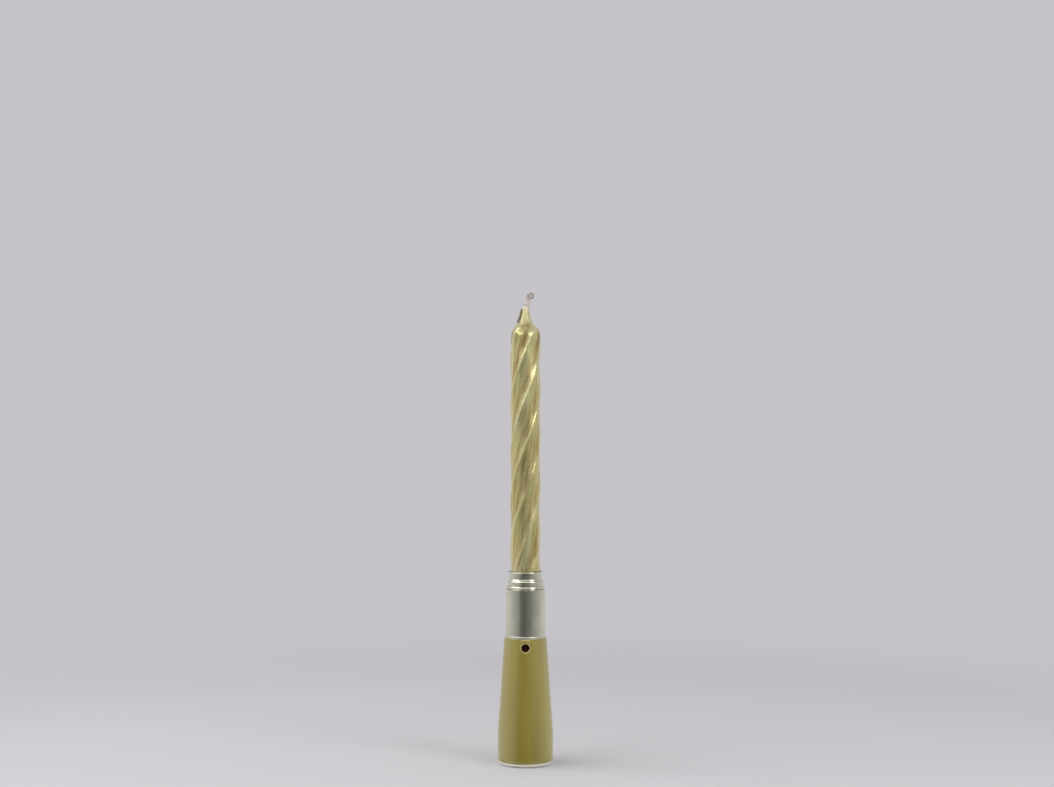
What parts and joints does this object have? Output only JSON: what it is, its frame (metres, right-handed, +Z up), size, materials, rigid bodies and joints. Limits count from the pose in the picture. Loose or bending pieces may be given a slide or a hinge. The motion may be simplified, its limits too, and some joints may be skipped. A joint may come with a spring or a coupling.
{
  "type": "musical birthday candle",
  "caption": "Twisted metallic candle in a plated ferrule on a tapered base that hides a light sensor, a melody board, button cells and a piezo disc.",
  "frame": {"origin": "centre of the foot, on the surface that the candle stands on", "axes": "+Z up along the candle, -Y towards the side with the small round port"},
  "size_m": [0.0128, 0.0128, 0.1093],
  "materials": {
    "shell_plastic": "satin metallic gold lacquer",
    "ferrule_plating": "bright plated",
    "gold_wax": "wax with a metallic gold coat",
    "wick_cotton": "waxed cotton thread",
    "fibre_plastic": "clear strand with a lacquer film",
    "cap_plastic": "satin metallic gold lacquer",
    "white_plastic": "moulded",
    "contact_metal": "stamped spring strip",
    "cell_steel": "plated cell can",
    "black_insulation": "lead insulation",
    "red_insulation": "lead insulation",
    "sounder_brass": "rolled disc",
    "sounder_ceramic": "silvered ceramic layer",
    "grey_foam": "soft foam ring",
    "board_laminate": "solder-masked laminate",
    "chip_epoxy": "poured epoxy drop",
    "transistor_case": "moulded case",
    "resistor_body": "glazed chip",
    "capacitor_body": "fired chip",
    "sensor_resin": "tinted clear resin",
    "shield_plastic": "dark red-brown sleeve"
  },
  "bodies": {
    "module": {"foot_cap": "cap_plastic", "cell_holder": "white_plastic", "negative_contact": "contact_metal", "lower_button_cell": "cell_steel", "upper_button_cell": "cell_steel", "positive_contact": "contact_metal", "battery_lead": "black_insulation", "piezo_plate": "sounder_brass", "piezo_ceramic": "sounder_ceramic", "piezo_foam_ring": "grey_foam", "piezo_lead_red": "red_insulation", "piezo_lead_black": "black_insulation", "board_carrier": "white_plastic", "circuit_board": "board_laminate", "melody_chip": "chip_epoxy", "drive_transistor": "transistor_case", "bias_resistor": "resistor_body", "filter_capacitor": "capacitor_body", "phototransistor": "sensor_resin", "light_shield": "shield_plastic"},
    "holder": {"base_shell": "shell_plastic", "ferrule": "ferrule_plating"},
    "candle": {"wax_candle": "gold_wax", "wick": "wick_cotton", "optical_fibre": "fibre_plastic"}
  },
  "joints": [
    {"name": "holder_lift", "type": "slide", "parent": "module", "child": "holder", "axis": [0, 0, 1], "range_m": [0, 0.034]},
    {"name": "candle_lift", "type": "slide", "parent": "holder", "child": "candle", "axis": [0, 0, 1], "range_m": [0, 0.012]}
  ]
}
